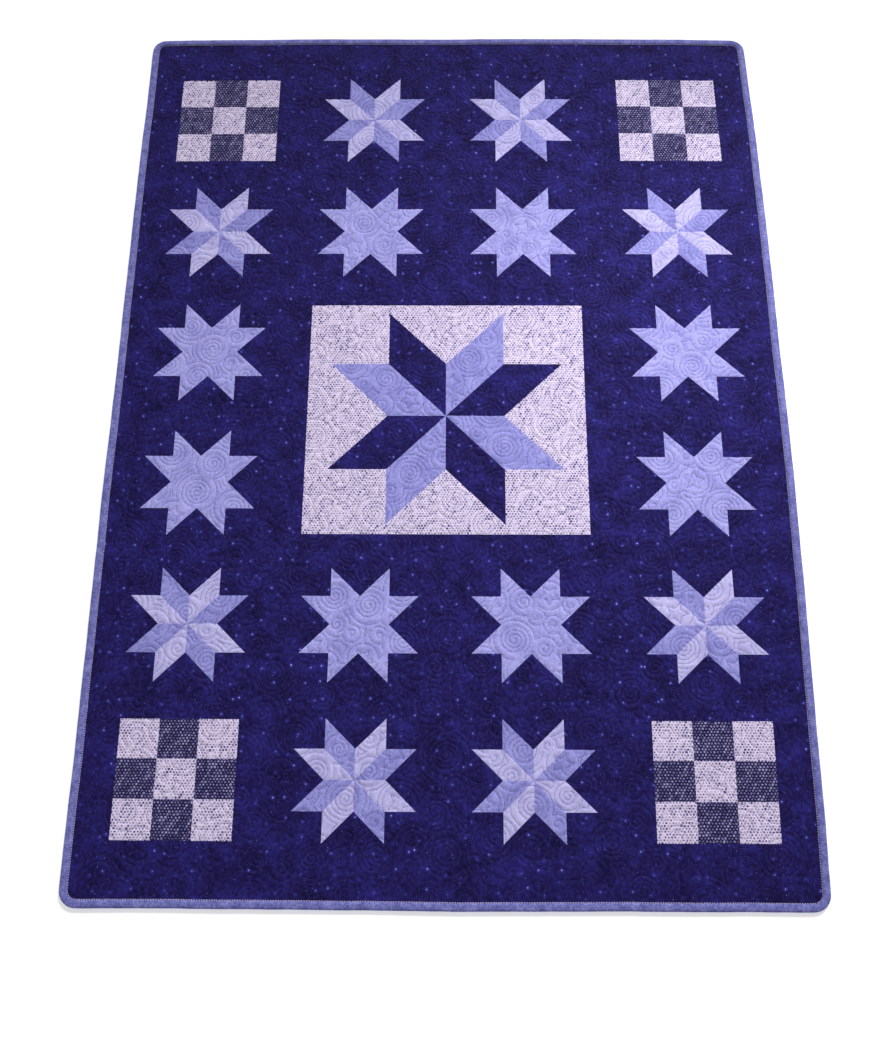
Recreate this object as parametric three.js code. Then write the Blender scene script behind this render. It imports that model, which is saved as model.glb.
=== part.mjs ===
// A star quilt lying flat: a pieced and quilted top, its backing cloth, a narrow flange
// and one folded binding that runs round the edge.
// Millimetres, +Z up. The width runs along X, the length along Y, and the underside is on z = 0.

import * as THREE from "three";

// Driving dimensions
const WIDTH = 1524;
const LENGTH = 2134;
const CORNER_RADIUS = 34;

// How far each side bows out at its middle, past the line through its two corners
const BOW = { right: 14, left: 2, top: 5, bottom: 2 };

// Cloth thicknesses, and the gap that is left between neighbouring pieces
const GAP = 0.3;
const BACKING_CLOTH = 1.2;
const BINDING_CLOTH = 1.2;
const FLANGE_CLOTH = 1.0;
const TOP_AT_EDGE = 2.4;
const TOP_LOFT = 5.5;

// Widths measured inwards from the outer edge of the quilt
const BINDING_WIDTH = 15;
const POCKET_DEPTH = 6;
const LAYER_EDGE = 7;
const FLANGE_EDGE = 9;
const FLANGE_WIDTH_SHOWN = 2.5;

// The round of the binding's outer edge, in parts of the binding's height
const ROUND = { shoulder: 0.45, cheek: 0.1, rise: 0.2 };

// The layers lie pressed in the binding to PRESSED_TO and reach their full form at FULL_FROM
const PRESSED_TO = 22;
const FULL_FROM = 70;

// Soft ridges (height over 0) and troughs of the quilted top, each an oval swell
const SWELLS = [
  { x: 395, y: 150, length: 190, width: 75, heading: -38, height: 1.2 },
  { x: 330, y: -30, length: 230, width: 80, heading: -22, height: -0.9 },
  { x: 600, y: 60, length: 210, width: 85, heading: 24, height: 1.1 },
  { x: 420, y: -250, length: 260, width: 90, heading: 12, height: 1.0 },
  { x: 610, y: -290, length: 200, width: 80, heading: -30, height: -0.8 },
  { x: 250, y: -560, length: 280, width: 95, heading: 8, height: 0.9 },
  { x: 560, y: -720, length: 240, width: 90, heading: 35, height: 0.9 },
  { x: -120, y: -820, length: 300, width: 100, heading: -10, height: -0.8 },
  { x: -470, y: -420, length: 260, width: 95, heading: 40, height: 0.9 },
  { x: -610, y: 90, length: 240, width: 85, heading: 75, height: -0.7 },
  { x: -340, y: 420, length: 260, width: 90, heading: -15, height: 0.8 },
  { x: 40, y: 660, length: 320, width: 100, heading: 6, height: 0.8 },
  { x: 520, y: 780, length: 230, width: 90, heading: -42, height: 0.9 },
  { x: -520, y: 830, length: 240, width: 90, heading: 30, height: -0.7 },
  { x: 20, y: 60, length: 300, width: 120, heading: 60, height: 0.8 },
];

// Mesh fineness
const TOP_CELLS = { across: 28, along: 38 };
const BACKING_CELLS = { across: 10, along: 12 };
const CORNER_STEPS = 6;
const SIDE_STEPS = 10;

// Half sizes of the outline before its sides bow, and the shift that centres the bowed one
const HALF_X = (WIDTH - BOW.left - BOW.right) / 2;
const HALF_Y = (LENGTH - BOW.top - BOW.bottom) / 2;
const SHIFT_X = (BOW.left - BOW.right) / 2;
const SHIFT_Y = (BOW.bottom - BOW.top) / 2;

// Levels of the layers held in the binding, from the bottom up
const EDGE_LIFT = BINDING_CLOTH + GAP;
const TOP_UNDERSIDE = BACKING_CLOTH + GAP;
const FLANGE_UNDERSIDE = EDGE_LIFT + TOP_UNDERSIDE + TOP_AT_EDGE + GAP;
const UPPER_LEG = FLANGE_UNDERSIDE + FLANGE_CLOTH + GAP;
const BINDING_TOP = UPPER_LEG + BINDING_CLOTH;

// Where a point of the flat cut cloth comes to lie once the sides bow out
function lay(x, y) {
  const across = x / HALF_X;
  const along = y / HALF_Y;
  const sideBow = x > 0 ? BOW.right : -BOW.left;
  const endBow = y > 0 ? BOW.top : -BOW.bottom;
  return {
    x: x + SHIFT_X + sideBow * across ** 2 * Math.max(0, 1 - along ** 2),
    y: y + SHIFT_Y + endBow * along ** 2 * Math.max(0, 1 - across ** 2),
  };
}

// Distance of a point inside the outline of the cut cloth
function edgeDepth(x, y) {
  const outX = Math.abs(x) - (HALF_X - CORNER_RADIUS);
  const outY = Math.abs(y) - (HALF_Y - CORNER_RADIUS);
  const outside = Math.hypot(Math.max(outX, 0), Math.max(outY, 0));
  return CORNER_RADIUS - outside - Math.min(Math.max(outX, outY), 0);
}

// 0 where the layers are pressed in the binding, 1 where they have their full form
function release(x, y) {
  return THREE.MathUtils.smoothstep(edgeDepth(x, y), PRESSED_TO, FULL_FROM);
}

// Height of the ridges and troughs at a point
function unevenness(x, y) {
  let sum = 0;
  for (const swell of SWELLS) {
    const turn = THREE.MathUtils.degToRad(swell.heading);
    const dx = x - swell.x;
    const dy = y - swell.y;
    const along = (dx * Math.cos(turn) + dy * Math.sin(turn)) / swell.length;
    const across = (dy * Math.cos(turn) - dx * Math.sin(turn)) / swell.width;
    sum += swell.height * Math.exp(-(along ** 2) - across ** 2);
  }
  return sum;
}

const backingUnder = (x, y) => EDGE_LIFT * (1 - release(x, y));
const backingOver = (x, y) => backingUnder(x, y) + BACKING_CLOTH;
const topUnder = (x, y) => backingOver(x, y) + GAP;
const topOver = (x, y) => {
  const full = release(x, y);
  const loft = TOP_LOFT + unevenness(x, y);
  return topUnder(x, y) + TOP_AT_EDGE + (loft - TOP_AT_EDGE) * full;
};

// A grid line of a cloth: three close to the bound edge, the others evenly between
function gridLine(index, count, half) {
  const nearLines = [half, half - (PRESSED_TO - LAYER_EDGE), half - (FULL_FROM - LAYER_EDGE)];
  const last = nearLines.length - 1;
  const fromEnd = Math.min(index, count - index);
  const side = index * 2 < count ? -1 : 1;
  if (fromEnd <= last) {
    return side * nearLines[fromEnd];
  }
  return nearLines[last] * (2 * (index - last) / (count - 2 * last) - 1);
}

// Draws a point that lies past the round of a corner in onto it
function roundCorner(x, y, inset) {
  const centreX = HALF_X - CORNER_RADIUS;
  const centreY = HALF_Y - CORNER_RADIUS;
  const outX = Math.abs(x) - centreX;
  const outY = Math.abs(y) - centreY;
  const reach = Math.hypot(outX, outY);
  if (outX <= 0 || outY <= 0 || reach <= CORNER_RADIUS - inset) {
    return { x, y };
  }
  const pull = (CORNER_RADIUS - inset) / reach;
  return {
    x: Math.sign(x) * (centreX + outX * pull),
    y: Math.sign(y) * (centreY + outY * pull),
  };
}

// A closed cloth: an upper and an under face on one grid, joined round their edge.
// The two faces split their cells the same way, along the line from the nearest corner.
function clothGeometry(cells, under, over) {
  const halfX = HALF_X - LAYER_EDGE;
  const halfY = HALF_Y - LAYER_EDGE;
  const positions = [];
  const index = [];
  for (const heightAt of [over, under]) {
    for (let row = 0; row <= cells.along; row += 1) {
      for (let column = 0; column <= cells.across; column += 1) {
        const lineX = gridLine(column, cells.across, halfX);
        const lineY = gridLine(row, cells.along, halfY);
        const cut = roundCorner(lineX, lineY, LAYER_EDGE);
        const laid = lay(cut.x, cut.y);
        positions.push(laid.x, laid.y, heightAt(cut.x, cut.y));
      }
    }
  }
  const lineLength = cells.across + 1;
  const faceSize = lineLength * (cells.along + 1);
  const addTriangle = (a, b, c) => {
    index.push(a, b, c);
    index.push(a + faceSize, c + faceSize, b + faceSize);
  };
  for (let row = 0; row < cells.along; row += 1) {
    for (let column = 0; column < cells.across; column += 1) {
      const a = row * lineLength + column;
      const b = a + 1;
      const c = b + lineLength;
      const d = a + lineLength;
      const atLeft = column * 2 < cells.across;
      const atBottom = row * 2 < cells.along;
      if (atLeft === atBottom) {
        addTriangle(a, b, c);
        addTriangle(a, c, d);
      } else {
        addTriangle(a, b, d);
        addTriangle(b, c, d);
      }
    }
  }
  const rim = [];
  for (let column = 0; column < cells.across; column += 1) {
    rim.push([column, column + 1]);
    const far = cells.along * lineLength + column;
    rim.push([far + 1, far]);
  }
  for (let row = 0; row < cells.along; row += 1) {
    const right = row * lineLength + cells.across;
    rim.push([right, right + lineLength]);
    rim.push([(row + 1) * lineLength, row * lineLength]);
  }
  for (const [from, to] of rim) {
    index.push(from + faceSize, to + faceSize, to);
    index.push(from + faceSize, to, from);
  }
  return indexedGeometry(positions, index);
}

function indexedGeometry(positions, index) {
  const geometry = new THREE.BufferGeometry();
  geometry.setAttribute("position", new THREE.Float32BufferAttribute(positions, 3));
  geometry.setIndex(index);
  geometry.computeVertexNormals();
  return geometry;
}

// Stations once round the outline, anticlockwise: a point on it and the way out of the cloth
function outlineStations() {
  const corners = [[1, -1], [1, 1], [-1, 1], [-1, -1]];
  const stations = [];
  corners.forEach(([signX, signY], corner) => {
    const centre = new THREE.Vector2(
      signX * (HALF_X - CORNER_RADIUS),
      signY * (HALF_Y - CORNER_RADIUS),
    );
    for (let step = 0; step <= CORNER_STEPS; step += 1) {
      const angle = (corner - 1 + step / CORNER_STEPS) * Math.PI / 2;
      const outward = new THREE.Vector2(Math.cos(angle), Math.sin(angle));
      stations.push({ point: centre.clone().addScaledVector(outward, CORNER_RADIUS), outward });
    }
    const [nextX, nextY] = corners[(corner + 1) % corners.length];
    const { point: from, outward } = stations.at(-1);
    const run = new THREE.Vector2(
      (nextX - signX) * (HALF_X - CORNER_RADIUS),
      (nextY - signY) * (HALF_Y - CORNER_RADIUS),
    );
    for (let step = 1; step < SIDE_STEPS; step += 1) {
      stations.push({ point: from.clone().addScaledVector(run, step / SIDE_STEPS), outward });
    }
  });
  return stations;
}

// A strip that closes on itself round the quilt; its section runs anticlockwise with the
// outer edge on the right
function edgeStripGeometry(section) {
  const stations = outlineStations();
  const positions = [];
  const index = [];
  stations.forEach(({ point, outward }, station) => {
    const next = (station + 1) % stations.length;
    section.forEach(({ depth, height }, corner) => {
      const cut = point.clone().addScaledVector(outward, -depth);
      const laid = lay(cut.x, cut.y);
      positions.push(laid.x, laid.y, height);
      const after = (corner + 1) % section.length;
      const a = station * section.length + corner;
      const b = next * section.length + corner;
      const c = next * section.length + after;
      const d = station * section.length + after;
      index.push(a, b, c, a, c, d);
    });
  });
  return indexedGeometry(positions, index);
}

// The binding's section: a cloth folded round the layers, with a soft round outer edge
function bindingSection() {
  const shoulder = BINDING_TOP * ROUND.shoulder;
  const cheek = BINDING_TOP * ROUND.cheek;
  const rise = BINDING_TOP * ROUND.rise;
  return [
    { depth: BINDING_WIDTH, height: 0 },
    { depth: shoulder, height: 0 },
    { depth: cheek, height: rise },
    { depth: 0, height: BINDING_TOP / 2 },
    { depth: cheek, height: BINDING_TOP - rise },
    { depth: shoulder, height: BINDING_TOP },
    { depth: BINDING_WIDTH, height: BINDING_TOP },
    { depth: BINDING_WIDTH, height: UPPER_LEG },
    { depth: POCKET_DEPTH, height: UPPER_LEG },
    { depth: POCKET_DEPTH, height: BINDING_CLOTH },
    { depth: BINDING_WIDTH, height: BINDING_CLOTH },
  ];
}

// The flange's section: a flat folded strip, tucked under the binding's upper leg
function flangeSection() {
  const inner = BINDING_WIDTH + FLANGE_WIDTH_SHOWN;
  return [
    { depth: inner, height: FLANGE_UNDERSIDE },
    { depth: FLANGE_EDGE, height: FLANGE_UNDERSIDE },
    { depth: FLANGE_EDGE, height: FLANGE_UNDERSIDE + FLANGE_CLOTH },
    { depth: inner, height: FLANGE_UNDERSIDE + FLANGE_CLOTH },
  ];
}

function addPiece(group, name, geometry, color) {
  const material = new THREE.MeshStandardMaterial({ color, roughness: 0.9, metalness: 0 });
  const piece = new THREE.Mesh(geometry, material);
  piece.name = name;
  group.add(piece);
}

const quilt = new THREE.Group();
addPiece(quilt, "backing", clothGeometry(BACKING_CELLS, backingUnder, backingOver), 0x4a447a);
addPiece(quilt, "quilted_top", clothGeometry(TOP_CELLS, topUnder, topOver), 0x241e58);
addPiece(quilt, "flange", edgeStripGeometry(flangeSection()), 0xcfc4e4);
addPiece(quilt, "binding", edgeStripGeometry(bindingSection()), 0x7474b4);

export default quilt;
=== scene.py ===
"""Looks of a star quilt that lies flat: pieced cottons, quilting, backing, flange and binding."""

import logging
import math
from dataclasses import dataclass
from enum import Enum

import bpy
import numpy as np
from mathutils import Matrix, Vector
from mathutils.bvhtree import BVHTree
from mathutils.kdtree import KDTree


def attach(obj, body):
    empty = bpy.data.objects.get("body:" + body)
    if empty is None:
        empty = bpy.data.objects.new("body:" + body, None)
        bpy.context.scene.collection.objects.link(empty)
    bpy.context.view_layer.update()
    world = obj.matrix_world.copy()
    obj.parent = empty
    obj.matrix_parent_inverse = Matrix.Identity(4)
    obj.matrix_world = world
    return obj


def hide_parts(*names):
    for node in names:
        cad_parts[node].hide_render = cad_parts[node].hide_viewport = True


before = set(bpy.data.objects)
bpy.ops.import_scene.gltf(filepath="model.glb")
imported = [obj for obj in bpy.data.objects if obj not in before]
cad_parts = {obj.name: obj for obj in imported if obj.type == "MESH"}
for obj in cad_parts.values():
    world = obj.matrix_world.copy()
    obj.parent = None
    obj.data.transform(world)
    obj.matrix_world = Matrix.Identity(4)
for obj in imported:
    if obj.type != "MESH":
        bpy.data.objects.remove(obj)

MM = 0.001
BAKE_MAP = "OFBake"
STRIP_MAP = "strip"
LOG = logging.getLogger("star_quilt")


class Cloth(Enum):
    """The printed and plain cottons of the pieced top."""

    NAVY = 0
    LIGHT = 1
    MEDIUM = 2
    PLAIN = 3
    PALE_DOT = 4
    DARK_DOT = 5


class Block(Enum):
    """What is pieced at one place of the setting."""

    OPEN = 0
    TWO_TONE_STAR = 1
    PLAIN_STAR = 2
    NINE_PATCH = 3


class Motif(Enum):
    """The figures that the quilting line draws."""

    SPIRAL = 0
    STAR = 1


@dataclass(frozen=True)
class Swell:
    """One soft ridge, or a trough where its height is under 0: millimetres, degrees."""

    x: float
    y: float
    length: float
    width: float
    heading: float
    height: float


SWELLS = (
    Swell(395, 150, 190, 75, -38, 1.2),
    Swell(330, -30, 230, 80, -22, -0.9),
    Swell(600, 60, 210, 85, 24, 1.1),
    Swell(420, -250, 260, 90, 12, 1.0),
    Swell(610, -290, 200, 80, -30, -0.8),
    Swell(250, -560, 280, 95, 8, 0.9),
    Swell(560, -720, 240, 90, 35, 0.9),
    Swell(-120, -820, 300, 100, -10, -0.8),
    Swell(-470, -420, 260, 95, 40, 0.9),
    Swell(-610, 90, 240, 85, 75, -0.7),
    Swell(-340, 420, 260, 90, -15, 0.8),
    Swell(40, 660, 320, 100, 6, 0.8),
    Swell(520, 780, 230, 90, -42, 0.9),
    Swell(-520, 830, 240, 90, 30, -0.7),
    Swell(20, 60, 300, 120, 60, 0.8),
)


def linear(hex_code: str) -> tuple[float, float, float, float]:
    """Turns an sRGB hex colour into linear RGBA.

    Args:
        hex_code: six hex digits, such as "1e165a".

    Returns:
        Red, green, blue and alpha, each from 0 to 1.
    """
    parts = [int(hex_code[i:i + 2], 16) / 255 for i in (0, 2, 4)]
    toe = [c / 12.92 if c <= 0.04045 else ((c + 0.055) / 1.055) ** 2.4 for c in parts]
    return (*toe, 1.0)


def add_node(tree: bpy.types.NodeTree, kind: str, inputs: dict | None = None,
             **options: object) -> bpy.types.Node:
    """Adds a node with its settings and links.

    Args:
        tree: the node tree that gets the node.
        kind: the node's Blender type name.
        inputs: socket names or numbers, each with a value or with the socket linked to it.
        options: the node's own properties.

    Returns:
        The new node.
    """
    node = tree.nodes.new(kind)
    for name, value in options.items():
        setattr(node, name, value)
    for key, value in (inputs or {}).items():
        if isinstance(value, bpy.types.NodeSocket):
            tree.links.new(value, node.inputs[key])
        else:
            node.inputs[key].default_value = value
    return node


def set_ramp(node: bpy.types.Node, stops: list[tuple[float, str]]) -> bpy.types.NodeSocket:
    """Gives a colour ramp its stops.

    Args:
        node: the colour ramp.
        stops: places from 0 to 1, each with its hex colour.

    Returns:
        The ramp's colour socket.
    """
    elements = node.color_ramp.elements
    while len(elements) < len(stops):
        elements.new(1.0)
    for element, (place, code) in zip(elements, stops):
        element.position = place
        element.color = linear(code)
    return node.outputs["Color"]


def deselect_all() -> None:
    """Deselects every object, because the loaded frame is left selected."""
    bpy.ops.object.select_all(action="DESELECT")


def mesh_piece(name: str, points: np.ndarray, faces: np.ndarray, maps: dict[str, np.ndarray],
               materials: list[bpy.types.Material],
               cloth: np.ndarray | None = None) -> bpy.types.Object:
    """Makes a smooth mesh object at the origin from arrays in millimetres.

    Args:
        name: the piece's name.
        points: vertex places, n by 3, in millimetres.
        faces: vertex numbers, m by 3 or m by 4.
        maps: UV maps by name, each the place of every face corner, m by 3 or 4 by 2.
        materials: the piece's finishes.
        cloth: which of the finishes each face has, or None for the first.

    Returns:
        The new object.
    """
    mesh = bpy.data.meshes.new(name)
    count, sides = faces.shape
    mesh.vertices.add(len(points))
    mesh.vertices.foreach_set("co", (points * MM).astype(np.float32).ravel())
    mesh.loops.add(count * sides)
    mesh.loops.foreach_set("vertex_index", faces.astype(np.int32).ravel())
    mesh.polygons.add(count)
    mesh.polygons.foreach_set("loop_start", np.arange(0, count * sides, sides, dtype=np.int32))
    if cloth is not None:
        mesh.polygons.foreach_set("material_index", cloth.astype(np.int32))
    mesh.polygons.foreach_set("use_smooth", np.ones(count, dtype=bool))
    for map_name, places in maps.items():
        layer = mesh.uv_layers.new(name=map_name)
        layer.data.foreach_set("uv", places.astype(np.float32).ravel())
    mesh.update(calc_edges=True)
    for material in materials:
        mesh.materials.append(material)
    piece = bpy.data.objects.new(name, mesh)
    bpy.context.scene.collection.objects.link(piece)
    return piece


def flat_map(points: np.ndarray, faces: np.ndarray) -> np.ndarray:
    """Lays a piece's map out as the piece is seen from above.

    Args:
        points: vertex places, n by 3.
        faces: vertex numbers, m by 3 or m by 4.

    Returns:
        The map place of each corner of each face.
    """
    plan = points[:, :2]
    return ((plan - plan.min(0)) / np.ptp(plan, axis=0))[faces]


def declare(piece: bpy.types.Object, node: str | None = None) -> None:
    """Fixes a piece to the quilt's one body.

    Args:
        piece: the piece.
        node: the solid that it stands for, if any.
    """
    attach(piece, "root")
    if node:
        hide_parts(node)


def smoothstep(value: np.ndarray, low: float, high: float) -> np.ndarray:
    """Runs from 0 at low to 1 at high with soft ends."""
    share = np.clip((value - low) / (high - low), 0.0, 1.0)
    return share * share * (3.0 - 2.0 * share)


@dataclass(frozen=True)
class QuiltForm:
    """The flat cut of the quilt and the way that it lies, in millimetres."""

    width: float = 1524.0
    length: float = 2134.0
    corner_radius: float = 34.0
    bow_right: float = 14.0
    bow_left: float = 2.0
    bow_top: float = 5.0
    bow_bottom: float = 2.0
    gap: float = 0.3
    backing_cloth: float = 1.2
    binding_cloth: float = 1.2
    flange_cloth: float = 1.0
    top_at_edge: float = 2.4
    top_loft: float = 5.5
    layer_edge: float = 7.0
    binding_width: float = 15.0
    flange_shown: float = 2.5
    pressed_to: float = 22.0
    full_from: float = 70.0

    @property
    def half_x(self) -> float:
        """Half the width between the corners."""
        return (self.width - self.bow_left - self.bow_right) / 2

    @property
    def half_y(self) -> float:
        """Half the length between the corners."""
        return (self.length - self.bow_top - self.bow_bottom) / 2

    @property
    def edge_lift(self) -> float:
        """Height of the backing's underside in the binding."""
        return self.binding_cloth + self.gap

    @property
    def flange_underside(self) -> float:
        """Height at which the flange lies on the quilted top."""
        return self.edge_lift + self.backing_cloth + self.top_at_edge + 2 * self.gap

    @property
    def binding_top(self) -> float:
        """Height of the binding's upper side."""
        return self.flange_underside + self.flange_cloth + self.gap + self.binding_cloth

    def lay(self, x: np.ndarray, y: np.ndarray) -> tuple[np.ndarray, np.ndarray]:
        """Gives the place where points of the flat cut come to lie once the sides bow.

        Args:
            x: places across the flat cut.
            y: places along the flat cut.

        Returns:
            The places across and along, as laid.
        """
        across, along = x / self.half_x, y / self.half_y
        side_bow = np.where(x > 0, self.bow_right, -self.bow_left)
        end_bow = np.where(y > 0, self.bow_top, -self.bow_bottom)
        shift_x = (self.bow_left - self.bow_right) / 2
        shift_y = (self.bow_bottom - self.bow_top) / 2
        laid_x = x + shift_x + side_bow * across**2 * np.maximum(0, 1 - along**2)
        laid_y = y + shift_y + end_bow * along**2 * np.maximum(0, 1 - across**2)
        return laid_x, laid_y

    def edge_depth(self, x: np.ndarray, y: np.ndarray) -> np.ndarray:
        """Distance of points inside the outline of the flat cut."""
        out_x = np.abs(x) - (self.half_x - self.corner_radius)
        out_y = np.abs(y) - (self.half_y - self.corner_radius)
        outside = np.hypot(np.maximum(out_x, 0), np.maximum(out_y, 0))
        return self.corner_radius - outside - np.minimum(np.maximum(out_x, out_y), 0)

    def release(self, x: np.ndarray, y: np.ndarray) -> np.ndarray:
        """Gives 0 where the layers are pressed in the binding, 1 where they have full loft."""
        return smoothstep(self.edge_depth(x, y), self.pressed_to, self.full_from)

    def unevenness(self, x: np.ndarray, y: np.ndarray) -> np.ndarray:
        """Height of the soft ridges and troughs."""
        total = np.zeros_like(x)
        for swell in SWELLS:
            turn = math.radians(swell.heading)
            dx, dy = x - swell.x, y - swell.y
            along = (dx * math.cos(turn) + dy * math.sin(turn)) / swell.length
            across = (dy * math.cos(turn) - dx * math.sin(turn)) / swell.width
            total += swell.height * np.exp(-along**2 - across**2)
        return total

    def backing_height(self, x: np.ndarray, y: np.ndarray) -> np.ndarray:
        """Height of the backing's underside."""
        return self.edge_lift * (1 - self.release(x, y))

    def top_height(self, x: np.ndarray, y: np.ndarray) -> np.ndarray:
        """Height of the quilted top before its quilting."""
        full = self.release(x, y)
        loft = self.top_loft + self.unevenness(x, y)
        under = self.edge_lift * (1 - full) + self.backing_cloth + self.gap
        return under + self.top_at_edge + (loft - self.top_at_edge) * full

    def round_corner(self, x: np.ndarray, y: np.ndarray,
                     inset: float) -> tuple[np.ndarray, np.ndarray]:
        """Draws points that lie past the round of a corner in onto it.

        Args:
            x: places across the flat cut.
            y: places along the flat cut.
            inset: how far inside the outline the round lies.

        Returns:
            The places across and along, none past the round.
        """
        centre_x, centre_y = self.half_x - self.corner_radius, self.half_y - self.corner_radius
        out_x, out_y = np.abs(x) - centre_x, np.abs(y) - centre_y
        reach = np.hypot(out_x, out_y)
        past = (out_x > 0) & (out_y > 0) & (reach > self.corner_radius - inset)
        pull = np.where(past, (self.corner_radius - inset) / np.maximum(reach, 1e-6), 1.0)
        new_x = np.where(past, np.sign(x) * (centre_x + out_x * pull), x)
        new_y = np.where(past, np.sign(y) * (centre_y + out_y * pull), y)
        return new_x, new_y

    def outline(self, step: float) -> tuple[np.ndarray, np.ndarray]:
        """Follows the outline once round, anticlockwise.

        Args:
            step: distance between stations.

        Returns:
            Points on the outline, and the way out of the cloth at each.
        """
        points, ways = [], []
        corners = ((1, -1), (1, 1), (-1, 1), (-1, -1))
        inner = np.array([self.half_x - self.corner_radius, self.half_y - self.corner_radius])
        arc_steps = max(6, round(self.corner_radius * math.pi / 2 / step))
        for number, corner in enumerate(corners):
            centre = np.array(corner) * inner
            for part in range(arc_steps + 1):
                angle = (number - 1 + part / arc_steps) * math.pi / 2
                ways.append(np.array([math.cos(angle), math.sin(angle)]))
                points.append(centre + ways[-1] * self.corner_radius)
            run = np.array(corners[(number + 1) % 4]) * inner - centre
            run_steps = max(2, round(np.hypot(*run) / step))
            start = points[-1]
            for part in range(1, run_steps):
                points.append(start + run * part / run_steps)
                ways.append(ways[-1])
        return np.array(points), np.array(ways)


@dataclass(frozen=True)
class Piecing:
    """The pieced setting, counted in cells of a fine square grid on which every seam lies."""

    cell: float = 3.125
    unit: int = 20
    column_step: int = 58
    row_step: int = 52
    panel_half_x: int = 100
    panel_half_y: int = 91
    panel_unit: int = 42
    patch: int = 26
    half_columns: int = 239
    half_rows: int = 338
    setting: tuple[tuple[Block, ...], ...] = (
        (Block.NINE_PATCH, Block.TWO_TONE_STAR, Block.TWO_TONE_STAR, Block.NINE_PATCH),
        (Block.TWO_TONE_STAR, Block.PLAIN_STAR, Block.PLAIN_STAR, Block.TWO_TONE_STAR),
        (Block.PLAIN_STAR, Block.OPEN, Block.OPEN, Block.PLAIN_STAR),
        (Block.PLAIN_STAR, Block.OPEN, Block.OPEN, Block.PLAIN_STAR),
        (Block.TWO_TONE_STAR, Block.PLAIN_STAR, Block.PLAIN_STAR, Block.TWO_TONE_STAR),
        (Block.NINE_PATCH, Block.TWO_TONE_STAR, Block.TWO_TONE_STAR, Block.NINE_PATCH),
    )

    @property
    def sections(self) -> dict[str, tuple[int, int, int, int]]:
        """The joined sections of the top: first and last column, first and last row."""
        wide, long = self.half_columns, self.half_rows
        side, mid, outer = 2 * self.column_step, 2 * self.row_step, 4 * self.row_step
        return {
            "head_row": (-wide, wide, outer, long),
            "upper_row": (-wide, wide, mid, outer),
            "left_blocks": (-wide, -side, -mid, mid),
            "centre_panel": (-side, side, -mid, mid),
            "right_blocks": (side, wide, -mid, mid),
            "lower_row": (-wide, wide, -outer, -mid),
            "foot_row": (-wide, wide, -long, -outer),
        }

    @staticmethod
    def star(x: np.ndarray, y: np.ndarray, unit: int) -> tuple[np.ndarray, np.ndarray]:
        """Finds an eight-pointed star about the origin, four units wide and long.

        Args:
            x: places across, in cells.
            y: places along, in cells.
            unit: a quarter of the star's width, in cells.

        Returns:
            Whether each place is in the star, and whether it is in one of its odd points.
        """
        low = np.minimum(np.abs(x), np.abs(y))
        high = np.maximum(np.abs(x), np.abs(y))
        inside = (low < unit) & (high < low + unit)
        octant = np.floor(np.arctan2(y, x) / (math.pi / 4)).astype(int)
        return inside, octant % 2 == 1

    def cloth_at(self, x: np.ndarray, y: np.ndarray) -> np.ndarray:
        """Tells which cotton lies at each place.

        Args:
            x: places across, in cells.
            y: places along, in cells.

        Returns:
            The number of each place's Cloth.
        """
        cloth = np.full(x.shape, Cloth.NAVY.value)
        panel = (np.abs(x) < self.panel_half_x) & (np.abs(y) < self.panel_half_y)
        cloth[panel] = Cloth.PALE_DOT.value
        inside, odd = self.star(x, y, self.panel_unit)
        cloth[inside & odd] = Cloth.MEDIUM.value
        cloth[inside & ~odd] = Cloth.NAVY.value
        for row, blocks in enumerate(self.setting):
            for column, block in enumerate(blocks):
                near_x = x - (2 * column - 3) * self.column_step
                near_y = y - (5 - 2 * row) * self.row_step
                self.set_block(block, near_x, near_y, cloth)
        return cloth

    def set_block(self, block: Block, x: np.ndarray, y: np.ndarray, cloth: np.ndarray) -> None:
        """Writes one block's cottons.

        Args:
            block: what is pieced there.
            x: places across from the block's middle, in cells.
            y: places along from the block's middle, in cells.
            cloth: the numbers of the cottons, changed where the block lies.
        """
        inside, odd = self.star(x, y, self.unit)
        if block is Block.TWO_TONE_STAR:
            cloth[inside & odd] = Cloth.LIGHT.value
            cloth[inside & ~odd] = Cloth.MEDIUM.value
        elif block is Block.PLAIN_STAR:
            cloth[inside] = Cloth.PLAIN.value
        elif block is Block.NINE_PATCH:
            half = 3 * self.patch / 2
            within = (np.abs(x) < half) & (np.abs(y) < half)
            odd_patch = (np.floor((x + half) / self.patch) + np.floor((y + half) / self.patch)) % 2
            cloth[within & (odd_patch == 0)] = Cloth.PALE_DOT.value
            cloth[within & (odd_patch == 1)] = Cloth.DARK_DOT.value


@dataclass(frozen=True)
class MotifSize:
    """How one kind of quilted figure is scattered, in millimetres."""

    motif: Motif
    smallest: float
    largest: float
    clearance: float
    tries: int


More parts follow.
